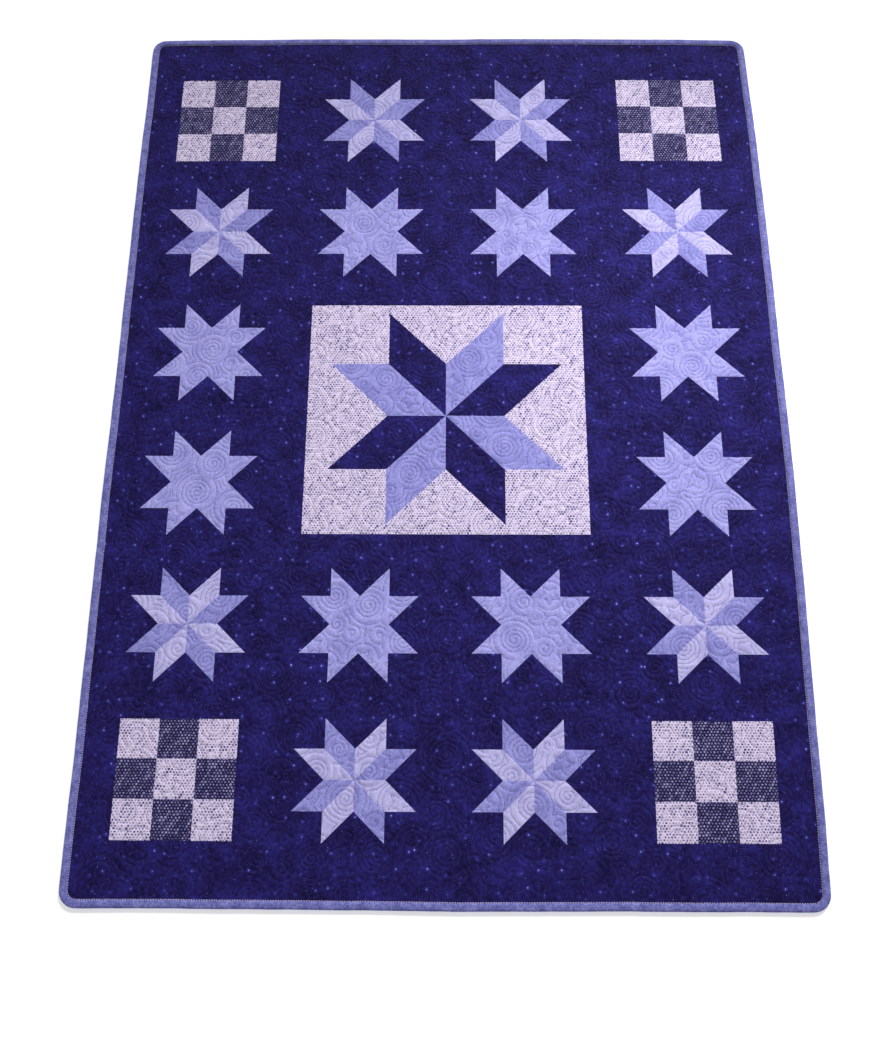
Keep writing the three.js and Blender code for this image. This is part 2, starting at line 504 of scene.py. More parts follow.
@dataclass
class Quilting:
    """The stitched line: spirals and five-pointed stars with arcs that echo them."""

    form: QuiltForm
    seed: int = 41
    sample: float = 1.5
    spacing: float = 9.0
    shortest: float = 14.0
    echoes: int = 4
    star_waist: float = 0.44
    edge_clearance: float = 2.0
    echo_clearance: float = 0.4
    neighbour_reach: float = 260.0
    scatter: tuple[MotifSize, ...] = (
        MotifSize(Motif.STAR, 22.0, 26.0, 50.0, 500),
        MotifSize(Motif.SPIRAL, 28.0, 36.0, 10.0, 3500),
        MotifSize(Motif.SPIRAL, 17.0, 22.0, 9.0, 4500),
        MotifSize(Motif.SPIRAL, 9.0, 12.0, 8.5, 4500),
    )

    def __post_init__(self) -> None:
        """Lays out the whole stitched line."""
        self.random = np.random.default_rng(self.seed)
        self.lines: list[np.ndarray] = []
        self.place_motifs()
        for number in range(len(self.radii)):
            self.draw_motif(number)
            self.draw_echoes(number)
        self.tree = KDTree(sum(len(line) for line in self.lines))
        self.samples = np.concatenate(self.lines)
        for number, (x, y) in enumerate(self.samples):
            self.tree.insert((x, y, 0.0), number)
        self.tree.balance()

    def place_motifs(self) -> None:
        """Scatters the figures, the large ones first, clear of each other."""
        self.centres = np.empty((0, 2))
        self.radii = np.empty(0)
        self.kinds: list[Motif] = []
        for size in self.scatter:
            for _ in range(size.tries):
                place = self.random.uniform(-1, 1, 2) * (self.form.half_x, self.form.half_y)
                radius = self.random.uniform(size.smallest, size.largest)
                far = np.hypot(*(self.centres - place).T) - self.radii - radius
                if len(far) == 0 or far.min() > size.clearance:
                    self.centres = np.vstack([self.centres, place])
                    self.radii = np.append(self.radii, radius)
                    self.kinds.append(size.motif)

    def keep(self, line: np.ndarray, mask: np.ndarray) -> None:
        """Keeps the runs of a line that lie in the mask and inside the binding.

        Args:
            line: points along the line.
            mask: which of them may be kept.
        """
        edge = self.form.binding_width + self.form.flange_shown + self.edge_clearance
        mask = mask & (self.form.edge_depth(line[:, 0], line[:, 1]) > edge)
        change = np.flatnonzero(np.diff(mask.astype(int))) + 1
        for run, kept in zip(np.split(line, change), np.split(mask, change)):
            if kept[0] and len(run) * self.sample > self.shortest:
                self.lines.append(run)

    def draw_motif(self, number: int) -> None:
        """Draws one figure.

        Args:
            number: the figure's number.
        """
        centre, radius = self.centres[number], self.radii[number]
        turn = self.random.uniform(0, 2 * math.pi)
        hand = self.random.choice((-1, 1))
        if self.kinds[number] is Motif.STAR:
            corners = np.arange(11) * math.pi / 5 + turn
            reach = np.where(np.arange(11) % 2 == 0, radius, radius * self.star_waist)
            points = np.stack([np.cos(corners), np.sin(corners)], 1) * reach[:, None]
        else:
            turns = radius / self.spacing
            angle = np.linspace(0.25, turns, 90) * 2 * math.pi
            reach = radius * angle / angle[-1]
            points = np.stack([np.cos(hand * angle + turn), np.sin(hand * angle + turn)], 1)
            points *= reach[:, None]
        line = self.resample(points + centre)
        self.keep(line, np.ones(len(line), bool))

    def draw_echoes(self, number: int) -> None:
        """Draws the arcs round one figure, as far as they are nearer to it than to others.

        Args:
            number: the figure's number.
        """
        others = np.arange(len(self.radii)) != number
        apart = np.hypot(*(self.centres - self.centres[number]).T)
        near = others & (apart < self.neighbour_reach)
        for echo in range(1, self.echoes + 1):
            gap = self.spacing * echo
            reach = self.radii[number] + gap
            angle = np.linspace(0, 2 * math.pi, max(24, round(2 * math.pi * reach / self.sample)))
            angle = angle + self.random.uniform(0, 2 * math.pi)
            line = self.centres[number] + reach * np.stack([np.cos(angle), np.sin(angle)], 1)
            apart = np.hypot(
                line[:, None, 0] - self.centres[near, 0], line[:, None, 1] - self.centres[near, 1])
            self.keep(line, (apart - self.radii[near]).min(1) > gap + self.echo_clearance)

    def resample(self, points: np.ndarray) -> np.ndarray:
        """Spaces points evenly along a line.

        Args:
            points: the line's points.

        Returns:
            Points about one sample apart.
        """
        run = np.append(0, np.cumsum(np.hypot(*np.diff(points, axis=0).T)))
        even = np.linspace(0, run[-1], max(2, round(run[-1] / self.sample) + 1))
        return np.stack([np.interp(even, run, points[:, axis]) for axis in (0, 1)], 1)

    def nearest(self, x: np.ndarray, y: np.ndarray) -> tuple[np.ndarray, np.ndarray]:
        """Finds the stitched line nearest to each place.

        Args:
            x: places across.
            y: places along.

        Returns:
            The number of the nearest sample, and its distance.
        """
        found = [self.tree.find((a, b, 0.0)) for a, b in zip(x.tolist(), y.tolist())]
        return np.array([f[1] for f in found]), np.array([f[2] for f in found])


@dataclass(frozen=True)
class Cotton:
    """Plain-woven quilting cotton: matte, with a soft bloom at low angles and a fine weave."""

    name: str
    roughness: float = 0.88
    specular: float = 0.10
    sheen: float = 0.06
    # Real threads are about 0.3 mm apart; the weave is drawn three times as coarse to show.
    weave_mm: float = 0.9
    weave_depth_mm: float = 0.06
    slub_mm: float = 3.0
    slub_depth_mm: float = 0.22
    strip_print: bool = False

    def print_colour(self, tree: bpy.types.NodeTree,
                     place: bpy.types.NodeSocket) -> bpy.types.NodeSocket:
        """Makes the cloth's printed or dyed colour.

        Args:
            tree: the material's node tree.
            place: the places on the cloth, in metres.

        Returns:
            The colour socket.
        """
        raise NotImplementedError

    def weave(self, tree: bpy.types.NodeTree,
              place: bpy.types.NodeSocket) -> bpy.types.NodeSocket:
        """Makes the bump of warp, weft and slubs.

        Args:
            tree: the material's node tree.
            place: the places on the cloth, in metres.

        Returns:
            The normal socket.
        """
        # The bands of a wave texture lie 2 pi / 20 apart at a scale of 1.
        scale = 2 * math.pi / (20 * self.weave_mm * MM)
        warp = add_node(tree, "ShaderNodeTexWave", {"Vector": place, "Scale": scale},
                        bands_direction="X")
        weft = add_node(tree, "ShaderNodeTexWave", {"Vector": place, "Scale": scale},
                        bands_direction="Y")
        threads = add_node(tree, "ShaderNodeMath", {0: warp.outputs["Fac"], 1: weft.outputs["Fac"]},
                           operation="MAXIMUM")
        slubs = add_node(tree, "ShaderNodeTexNoise",
                         {"Vector": place, "Scale": 1 / (self.slub_mm * MM), "Detail": 3.0},
                         noise_dimensions="2D")
        coarse = add_node(tree, "ShaderNodeBump",
                          {"Height": slubs.outputs["Fac"], "Strength": 1.0,
                           "Distance": self.slub_depth_mm * MM})
        fine = add_node(tree, "ShaderNodeBump",
                        {"Height": threads.outputs[0], "Strength": 1.0,
                         "Distance": self.weave_depth_mm * MM, "Normal": coarse.outputs[0]})
        return fine.outputs[0]

    def material(self) -> bpy.types.Material:
        """Builds the cotton's material."""
        made = bpy.data.materials.new(self.name)
        made.use_nodes = True
        tree = made.node_tree
        shader = tree.nodes["Principled BSDF"]
        place = add_node(tree, "ShaderNodeTexCoord").outputs["Object"]
        if self.strip_print:
            place = add_node(tree, "ShaderNodeUVMap", uv_map=STRIP_MAP).outputs["UV"]
        tree.links.new(self.print_colour(tree, place), shader.inputs["Base Color"])
        tree.links.new(self.weave(tree, place), shader.inputs["Normal"])
        shader.inputs["Roughness"].default_value = self.roughness
        shader.inputs["Specular IOR Level"].default_value = self.specular
        shader.inputs["Sheen Weight"].default_value = self.sheen
        return made


@dataclass(frozen=True)
class MottledCotton(Cotton):
    """Hand-dyed cotton: one hue in soft lighter and darker patches."""

    dark: str = "808080"
    middle: str = "909090"
    light: str = "a0a0a0"
    patch_mm: float = 40.0
    fleck_mm: float = 5.0

    def print_colour(self, tree: bpy.types.NodeTree,
                     place: bpy.types.NodeSocket) -> bpy.types.NodeSocket:
        """Mixes broad dyed patches with fine flecks; see Cotton.print_colour."""
        broad = add_node(tree, "ShaderNodeTexNoise",
                         {"Vector": place, "Scale": 1 / (self.patch_mm * MM), "Detail": 4.0},
                         noise_dimensions="2D")
        flecks = add_node(tree, "ShaderNodeTexNoise",
                          {"Vector": place, "Scale": 1 / (self.fleck_mm * MM), "Detail": 2.0},
                          noise_dimensions="2D")
        both = add_node(tree, "ShaderNodeMix",
                        {"Factor": 0.5, "A": broad.outputs["Fac"], "B": flecks.outputs["Fac"]})
        ramp = add_node(tree, "ShaderNodeValToRGB", {"Fac": both.outputs[0]})
        return set_ramp(ramp, [(0.35, self.dark), (0.5, self.middle), (0.65, self.light)])


@dataclass(frozen=True)
class DottedCotton(Cotton):
    """Cotton printed with round dots in staggered rows, a little uneven as printed by hand."""

    ground: str = "eee0ff"
    dot: str = "433a7a"
    # The real dots are about 5 mm apart; they are drawn coarser so that they show.
    pitch_mm: float = 6.5
    dot_mm: float = 3.9
    waver_mm: float = 2.0
    faintest: float = 0.3
    smallest: float = 0.7

    def print_colour(self, tree: bpy.types.NodeTree,
                     place: bpy.types.NodeSocket) -> bpy.types.NodeSocket:
        """Sets dots on two interlocked grids; see Cotton.print_colour."""
        drift = add_node(tree, "ShaderNodeTexNoise",
                         {"Vector": place, "Scale": 1 / (2 * self.pitch_mm * MM)},
                         noise_dimensions="2D")
        shift = add_node(tree, "ShaderNodeVectorMath",
                         {0: drift.outputs["Color"], 1: (2 * self.waver_mm * MM,) * 3},
                         operation="MULTIPLY")
        moved = add_node(tree, "ShaderNodeVectorMath", {0: place, 1: shift.outputs[0]},
                         operation="ADD")
        marks = [self.dots(tree, moved.outputs[0], offset) for offset in (0.0, 0.5)]
        both = add_node(tree, "ShaderNodeMath", {0: marks[0], 1: marks[1]}, operation="MAXIMUM")
        ramp = add_node(tree, "ShaderNodeValToRGB", {"Fac": both.outputs[0]})
        return set_ramp(ramp, [(0.0, self.ground), (1.0, self.dot)])

    def dots(self, tree: bpy.types.NodeTree, place: bpy.types.NodeSocket,
             offset: float) -> bpy.types.NodeSocket:
        """Marks one grid of dots, each with its own strength of ink.

        Args:
            tree: the material's node tree.
            place: the places on the cloth, in metres.
            offset: the grid's shift, in parts of its spacing.

        Returns:
            The mark's strength.
        """
        across = self.pitch_mm * MM
        along = across * math.sqrt(3)
        counted = add_node(tree, "ShaderNodeVectorMath",
                           {0: place, 1: (1 / across, 1 / along, 0.0), 2: (offset, offset, offset)},
                           operation="MULTIPLY_ADD")
        cell = add_node(tree, "ShaderNodeVectorMath", {0: counted.outputs[0]}, operation="FLOOR")
        ink = add_node(tree, "ShaderNodeTexWhiteNoise", {"Vector": cell.outputs[0]},
                       noise_dimensions="2D")
        part = add_node(tree, "ShaderNodeVectorMath", {0: counted.outputs[0]},
                        operation="FRACTION")
        local = add_node(tree, "ShaderNodeVectorMath",
                         {0: part.outputs[0], 1: (across, along, 0.0),
                          2: (-across / 2, -along / 2, 0.0)}, operation="MULTIPLY_ADD")
        far = add_node(tree, "ShaderNodeVectorMath", {0: local.outputs[0]}, operation="LENGTH")
        edge = self.dot_mm / 2 * MM
        size = add_node(tree, "ShaderNodeMapRange",
                        {"Value": ink.outputs["Color"], "To Min": 2.0 - self.smallest,
                         "To Max": self.smallest})
        grown = add_node(tree, "ShaderNodeMath", {0: far.outputs["Value"], 1: size.outputs[0]},
                         operation="MULTIPLY")
        mark = add_node(tree, "ShaderNodeMapRange",
                        {"Value": grown.outputs[0], "From Min": edge * 1.15,
                         "From Max": edge * 0.8})
        strength = add_node(tree, "ShaderNodeMapRange",
                            {"Value": ink.outputs["Value"], "To Min": self.faintest})
        return add_node(tree, "ShaderNodeMath", {0: mark.outputs[0], 1: strength.outputs[0]},
                        operation="MULTIPLY").outputs[0]


@dataclass(frozen=True)
class StarFieldCotton(Cotton):
    """Night-sky print: clouded deep blue with scattered specks and four-pointed sparkles."""

    deep: str = "181240"
    middle: str = "241d5b"
    cloud: str = "322b86"
    glow: str = "403ba8"
    speck: str = "7c7bde"
    sparkle: str = "d6d3ff"
    cloud_mm: float = 60.0
    ripple_mm: float = 8.0
    speck_cell_mm: float = 13.0
    speck_mm: float = 1.7
    sparkle_cell_mm: float = 34.0
    sparkle_mm: float = 7.0
    glow_mm: float = 14.0

    def print_colour(self, tree: bpy.types.NodeTree,
                     place: bpy.types.NodeSocket) -> bpy.types.NodeSocket:
        """Lays specks and sparkles over the clouded ground; see Cotton.print_colour."""
        broad = add_node(tree, "ShaderNodeTexNoise",
                         {"Vector": place, "Scale": 1 / (self.cloud_mm * MM), "Detail": 5.0,
                          "Roughness": 0.6}, noise_dimensions="2D")
        ripple = add_node(tree, "ShaderNodeTexNoise",
                          {"Vector": place, "Scale": 1 / (self.ripple_mm * MM), "Detail": 3.0},
                          noise_dimensions="2D")
        both = add_node(tree, "ShaderNodeMix",
                        {"Factor": 0.45, "A": broad.outputs["Fac"], "B": ripple.outputs["Fac"]})
        ramp = add_node(tree, "ShaderNodeValToRGB", {"Fac": both.outputs[0]})
        colour = set_ramp(ramp, [(0.34, self.deep), (0.5, self.middle), (0.72, self.cloud)])
        core, glow = self.sparkles(tree, place)
        layers = ((glow, self.glow), (self.specks(tree, place), self.speck), (core, self.sparkle))
        for strength, ink in layers:
            mixed = add_node(tree, "ShaderNodeMix",
                             {"Factor": strength, 6: colour, 7: linear(ink)}, data_type="RGBA")
            colour = mixed.outputs[2]
        return colour

    def specks(self, tree: bpy.types.NodeTree,
               place: bpy.types.NodeSocket) -> bpy.types.NodeSocket:
        """Marks small round specks, some faint and some bright.

        Args:
            tree: the material's node tree.
            place: the places on the cloth, in metres.

        Returns:
            The mark's strength.
        """
        cells = add_node(tree, "ShaderNodeTexVoronoi",
                         {"Vector": place, "Scale": 1 / (self.speck_cell_mm * MM)},
                         voronoi_dimensions="2D")
        radius = self.speck_mm / 2 / self.speck_cell_mm
        chance = add_node(tree, "ShaderNodeSeparateColor", {"Color": cells.outputs["Color"]})
        reach = add_node(tree, "ShaderNodeMapRange",
                         {"Value": chance.outputs[2], "To Min": radius * 0.4,
                          "To Max": radius * 1.6})
        mark = add_node(tree, "ShaderNodeMapRange",
                        {"Value": cells.outputs["Distance"], "From Min": reach.outputs[0],
                         "From Max": 0.0})
        bright = add_node(tree, "ShaderNodeMapRange",
                          {"Value": chance.outputs[0], "From Min": 0.3, "From Max": 1.0,
                           "To Max": 1.4})
        return add_node(tree, "ShaderNodeMath", {0: mark.outputs[0], 1: bright.outputs[0]},
                        operation="MULTIPLY").outputs[0]

    def sparkles(self, tree: bpy.types.NodeTree,
                 place: bpy.types.NodeSocket) -> tuple[bpy.types.NodeSocket, ...]:
        """Marks four-pointed sparkles of uneven size, each in a soft round glow.

        Args:
            tree: the material's node tree.
            place: the places on the cloth, in metres.

        Returns:
            The strengths of the sparkle and of its glow.
        """
        cells = add_node(tree, "ShaderNodeTexVoronoi",
                         {"Vector": place, "Scale": 1 / (self.sparkle_cell_mm * MM)},
                         voronoi_dimensions="2D")
        local = add_node(tree, "ShaderNodeVectorMath", {0: place, 1: cells.outputs["Position"]},
                         operation="SUBTRACT")
        size = add_node(tree, "ShaderNodeVectorMath", {0: local.outputs[0]}, operation="ABSOLUTE")
        parts = add_node(tree, "ShaderNodeSeparateXYZ", {0: size.outputs[0]})
        roots = [add_node(tree, "ShaderNodeMath", {0: parts.outputs[axis], 1: 0.5},
                          operation="POWER").outputs[0] for axis in (0, 1)]
        total = add_node(tree, "ShaderNodeMath", {0: roots[0], 1: roots[1]}, operation="ADD")
        reach = add_node(tree, "ShaderNodeMath", {0: total.outputs[0], 1: 2.0}, operation="POWER")
        chance = add_node(tree, "ShaderNodeSeparateColor", {"Color": cells.outputs["Color"]})
        limit = add_node(tree, "ShaderNodeMapRange",
                         {"Value": chance.outputs[1], "From Min": 0.3, "From Max": 1.0,
                          "To Min": 1e-5, "To Max": self.sparkle_mm / 2 * MM})
        share = add_node(tree, "ShaderNodeMath", {0: reach.outputs[0], 1: limit.outputs[0]},
                         operation="DIVIDE")
        core = add_node(tree, "ShaderNodeMapRange",
                        {"Value": share.outputs[0], "From Min": 1.0, "From Max": 0.3})
        near = add_node(tree, "ShaderNodeMapRange",
                        {"Value": cells.outputs["Distance"],
                         "From Min": self.glow_mm / 2 / self.sparkle_cell_mm, "From Max": 0.0},
                        interpolation_type="SMOOTHSTEP")
        glow = add_node(tree, "ShaderNodeMath", {0: near.outputs[0], 1: chance.outputs[1]},
                        operation="MULTIPLY")
        return core.outputs[0], glow.outputs[0]


@dataclass(frozen=True)
class BatikCotton(MottledCotton):
    """Mottled backing cotton, dimpled along spirals by the quilting that shows through."""

    swirl_cell_mm: float = 75.0
    ring_mm: float = 10.5
    dimple_mm: float = 1.0

    def weave(self, tree: bpy.types.NodeTree,
              place: bpy.types.NodeSocket) -> bpy.types.NodeSocket:
        """Adds the spiral dimples to the woven bump; see Cotton.weave."""
        cells = add_node(tree, "ShaderNodeTexVoronoi",
                         {"Vector": place, "Scale": 1 / (self.swirl_cell_mm * MM)},
                         voronoi_dimensions="2D")
        local = add_node(tree, "ShaderNodeVectorMath", {0: place, 1: cells.outputs["Position"]},
                         operation="SUBTRACT")
        parts = add_node(tree, "ShaderNodeSeparateXYZ", {0: local.outputs[0]})
        angle = add_node(tree, "ShaderNodeMath", {0: parts.outputs[1], 1: parts.outputs[0]},
                         operation="ARCTAN2")
        turns = add_node(tree, "ShaderNodeMath", {0: angle.outputs[0], 1: 1 / (2 * math.pi)},
                         operation="MULTIPLY")
        reach = add_node(tree, "ShaderNodeVectorMath", {0: local.outputs[0]}, operation="LENGTH")
        ring = add_node(tree, "ShaderNodeMath",
                        {0: reach.outputs["Value"], 1: 1 / (self.ring_mm * MM),
                         2: turns.outputs[0]}, operation="MULTIPLY_ADD")
        dimple = add_node(tree, "ShaderNodeMath", {0: ring.outputs[0], 1: 0.5},
                          operation="PINGPONG")
        puff = add_node(tree, "ShaderNodeMapRange",
                        {"Value": dimple.outputs[0], "From Max": 0.35},
                        interpolation_type="SMOOTHERSTEP")
        return add_node(tree, "ShaderNodeBump",
                        {"Height": puff.outputs[0], "Strength": 1.0,
                         "Distance": self.dimple_mm * MM,
                         "Normal": super().weave(tree, place)}).outputs[0]


COTTONS = {
    Cloth.NAVY: StarFieldCotton("star_field_cotton", roughness=0.75, specular=0.05, sheen=0.02),
    Cloth.LIGHT: MottledCotton("light_lavender_cotton", dark="b8b1ea", middle="c8c2f7",
                               light="d5cfff"),
    Cloth.MEDIUM: MottledCotton("periwinkle_cotton", dark="8b89d2", middle="9c9ae2",
                                light="aba9f0"),
    Cloth.PLAIN: MottledCotton("lavender_cotton", dark="9a97de", middle="aba8ee",
                               light="bbb8fb"),
    Cloth.PALE_DOT: DottedCotton("pale_dotted_cotton"),
    Cloth.DARK_DOT: DottedCotton("dark_dotted_cotton", ground="231d4e", dot="aea7d8",
                                 pitch_mm=6.8, dot_mm=3.8),
}
BINDING_COTTON = MottledCotton("binding_cotton", dark="6061a8", middle="797ac2", light="9494d8",
                               patch_mm=22.0)
# The flange's ground and dots are darker than the pale dotted cloth of the top. The darkening is painted
# shade of the binding's edge falling on the fold.
FLANGE_COTTON = DottedCotton("flange_dotted_cotton", ground="bcb4dd", dot="37305f", pitch_mm=5.0,
                             dot_mm=3.6, waver_mm=0.4, faintest=0.8, smallest=0.9, strip_print=True)
BACKING_COTTON = BatikCotton("backing_batik_cotton", dark="332d66", middle="554fa0",
                             light="8682c6", patch_mm=70.0)
QUILTING_THREAD = MottledCotton("quilting_thread", dark="2d2a64", middle="39367c",
                                light="494691", patch_mm=30.0, roughness=0.6, sheen=0.1)


@dataclass
class QuiltedTop:
    """The pieced top: a fine sheet on the quilt's form, drawn down along the stitched line."""

    form: QuiltForm
    piecing: Piecing
    quilting: Quilting
    puff: float = 1.9
    puff_reach: float = 2.6
    sunk: float = 1.5
    seam_ditch: float = 0.6
    seam_probe: float = 0.3
    snap_share: float = 0.48
    least_face: float = 0.08
    untangle_rounds: int = 6
    # The quilting draws the cloth in by about 3 parts in 100.
    take_up: float = 1.03
    stitch_pitch: float = 3.1
    stitch_length: float = 2.6
    # Real thread is about 0.4 mm thick; the stitches are drawn wider so that they show.
    stitch_width: float = 1.25
    stitch_end_height: float = 0.15
    stitch_side_height: float = 0.3

    def __post_init__(self) -> None:
        """Works out the grid, its seams and its heights."""
        form, piecing, quilting = self.form, self.piecing, self.quilting
        columns = np.arange(-piecing.half_columns, piecing.half_columns + 1)
        rows = np.arange(-piecing.half_rows, piecing.half_rows + 1)
        grid_x, grid_y = (g.astype(float) for g in np.meshgrid(columns, rows))
        self.seam = self.find_seams(grid_x, grid_y)
        x, y = grid_x * piecing.cell, grid_y * piecing.cell
        x, y = form.round_corner(x, y, form.layer_edge)
        number, far = quilting.nearest(x.ravel(), y.ravel())
        far = far.reshape(x.shape)
        snap = (far < self.snap_share * piecing.cell) & ~self.seam
        onto = quilting.samples[number].reshape(*x.shape, 2)
        for _ in range(self.untangle_rounds):
            self.set_places(np.where(snap, onto[..., 0], x), np.where(snap, onto[..., 1], y),
                            np.where(snap, 0.0, far))
            self.map_cells(columns[:-1], rows[:-1])
            tangled = self.find_tangles()
            for down in (slice(None, -1), slice(1, None)):
                for side in (slice(None, -1), slice(1, None)):
                    snap[down, side] &= ~tangled
        self.surface = BVHTree.FromPolygons(self.places.reshape(-1, 3).tolist(),
                                            self.split_cells(self.rising).tolist())

    def set_places(self, x: np.ndarray, y: np.ndarray, far: np.ndarray) -> None:
        """Gives the grid points their places: puffed between the stitched lines, sunk on them.

        Args:
            x: places across the flat cut.
            y: places along the flat cut.
            far: distance from the stitched line.
        """
        loft = self.puff * (1 - np.exp(-far / self.puff_reach)) - self.sunk
        loft -= np.where(self.seam, self.seam_ditch, 0.0)
        z = self.form.top_height(x, y) + loft * self.form.release(x, y)
        self.places = np.stack([*self.form.lay(x, y), z], -1)

    def find_tangles(self) -> np.ndarray:
        """Marks the cells whose triangles are turned over or drawn very thin."""
        a, b = self.places[:-1, :-1, :2], self.places[:-1, 1:, :2]
        c, d = self.places[1:, 1:, :2], self.places[1:, :-1, :2]
        least = self.least_face * self.piecing.cell**2
        third, fourth = np.where(self.rising[..., None], c, d), np.where(self.rising[..., None], a, b)

        def area(p: np.ndarray, q: np.ndarray, r: np.ndarray) -> np.ndarray:
            """Area of triangles, under 0 where they are turned over."""
            u, v = q - p, r - p
            return (u[..., 0] * v[..., 1] - u[..., 1] * v[..., 0]) / 2

        return (area(a, b, third) < least) | (area(fourth, c, d) < least)

    def find_seams(self, x: np.ndarray, y: np.ndarray) -> np.ndarray:
        """Marks the grid points where two cottons meet.

        Args:
            x: grid columns.
            y: grid rows.

        Returns:
            True at each grid point on a seam.
        """
        around = []
        for turn in range(8):
            angle = (turn + 0.5) * math.pi / 4
            around.append(self.piecing.cloth_at(x + self.seam_probe * math.cos(angle),
                                                y + self.seam_probe * math.sin(angle)))
        return np.max(around, 0) != np.min(around, 0)

    def map_cells(self, columns: np.ndarray, rows: np.ndarray) -> None:
        """Splits each cell along a seam, or else along its more level diagonal.

        Args:
            columns: each cell's first column.
            rows: each cell's first row.
        """
        middle_x, middle_y = np.meshgrid(columns + 0.5, rows + 0.5)
        left = self.piecing.cloth_at(middle_x - 0.25, middle_y)
        right = self.piecing.cloth_at(middle_x + 0.25, middle_y)
        below = self.piecing.cloth_at(middle_x, middle_y - 0.25)
        above = self.piecing.cloth_at(middle_x, middle_y + 0.25)
        z = self.places[..., 2]
        rising_step = np.abs(z[:-1, :-1] - z[1:, 1:])
        falling_step = np.abs(z[:-1, 1:] - z[1:, :-1])
        plain = (left == right) & (below == above)
        self.rising = np.where(plain, rising_step <= falling_step, left == above)
        self.first_cloth = np.where(self.rising, right, left)
        self.second_cloth = np.where(self.rising, left, right)

    @staticmethod
    def split_cells(rising: np.ndarray) -> np.ndarray:
        """Lists the triangles of a grid, the first of every cell and then the second.

        Args:
            rising: whether each cell is split along its rising diagonal.

        Returns:
            The triangles' vertex numbers.
        """
        count = rising.shape[1] + 1
        number = np.arange((rising.shape[0] + 1) * count).reshape(-1, count)
        a, b = number[:-1, :-1].ravel(), number[:-1, 1:].ravel()
        c, d = number[1:, 1:].ravel(), number[1:, :-1].ravel()
        along = rising.ravel()[:, None]
        first = np.where(along, np.stack([a, b, c], 1), np.stack([a, b, d], 1))
        second = np.where(along, np.stack([a, c, d], 1), np.stack([b, c, d], 1))
        return np.concatenate([first, second])

    def build_section(self, name: str, extent: tuple[int, int, int, int],
                      materials: dict[Cloth, bpy.types.Material]) -> bpy.types.Object:
        """Makes one joined section of the top.

        Args:
            name: the section's name.
            extent: its first and last column, first and last row.
            materials: the finish of each cotton.

        Returns:
            The section.
        """
        wide, long = self.piecing.half_columns, self.piecing.half_rows
        c0, c1 = extent[0] + wide, extent[1] + wide
        r0, r1 = extent[2] + long, extent[3] + long
        points = self.places[r0:r1 + 1, c0:c1 + 1].reshape(-1, 3)
        faces = self.split_cells(self.rising[r0:r1, c0:c1])
        cloth = np.concatenate([self.first_cloth[r0:r1, c0:c1].ravel(),
                                self.second_cloth[r0:r1, c0:c1].ravel()])
        used = sorted(set(cloth.tolist()))
        return mesh_piece(name, points, faces, {BAKE_MAP: flat_map(points, faces)},
                          [materials[Cloth(code)] for code in used],
                          np.searchsorted(used, cloth))

    def height_at(self, x: np.ndarray, y: np.ndarray) -> np.ndarray:
        """Measures the sheet's height.

        Args:
            x: places across, as laid.
            y: places along, as laid.

        Returns:
            The height at each place.
        """
        above = self.places[..., 2].max() + 1.0
        down = Vector((0.0, 0.0, -1.0))
        hits = [self.surface.ray_cast((a, b, above), down)[0] for a, b in zip(x.tolist(), y.tolist())]
        return np.array([above if hit is None else hit.z for hit in hits])

    def build_stitches(self, name: str, lines: list[np.ndarray],
                       material: bpy.types.Material) -> bpy.types.Object:
        """Makes the stitches that lie along some of the lines.

        Args:
            name: the piece's name.
            lines: the stitched lines.
            material: the thread.

        Returns:
            The stitches as one piece, two triangles to a stitch.
        """
        starts, ends = [], []
        for line in lines:
            run = np.append(0, np.cumsum(np.hypot(*np.diff(line, axis=0).T)))
            begin = np.arange(0, run[-1] - self.stitch_length, self.stitch_pitch)
            for kept, at in ((starts, begin), (ends, begin + self.stitch_length)):
                kept.append(np.stack([np.interp(at, run, line[:, axis]) for axis in (0, 1)], 1))
        start, end = np.concatenate(starts), np.concatenate(ends)
        middle, way = (start + end) / 2, end - start
        way /= np.maximum(np.hypot(*way.T), 1e-6)[:, None]
        side = np.stack([-way[:, 1], way[:, 0]], 1) * self.stitch_width / 2
        corners = np.stack([start, middle - side, end, middle + side], 1).reshape(-1, 2)
        laid_x, laid_y = self.form.lay(corners[:, 0], corners[:, 1])
        height = self.height_at(laid_x, laid_y)
        height += np.tile([self.stitch_end_height, self.stitch_side_height], len(height) // 2)
        points = np.stack([laid_x, laid_y, height], -1)
        number = np.arange(0, len(points), 4)[:, None]
        faces = np.concatenate([number + (0, 1, 3), number + (1, 2, 3)])
        return mesh_piece(name, points, faces, {BAKE_MAP: flat_map(points, faces)}, [material])

    def build(self) -> list[bpy.types.Object]:
        """Returns:
            The pieces of the top.
        """
        materials = {cloth: cotton.material() for cloth, cotton in COTTONS.items()}
        made = []
        for name, extent in self.piecing.sections.items():
            section = self.build_section(f"top_{name}", extent, materials)
            declare(section, "quilted_top")
            made.append(section)
        thread = QUILTING_THREAD.material()
        middles = np.array([line[:, 1].mean() for line in self.quilting.lines])
        for name, wanted in (("stitches_upper", middles >= 0), ("stitches_lower", middles < 0)):
            lines = [self.quilting.lines[i] for i in np.flatnonzero(wanted)]
            stitches = self.build_stitches(name, lines, thread)
            declare(stitches)
            made.append(stitches)
        return made


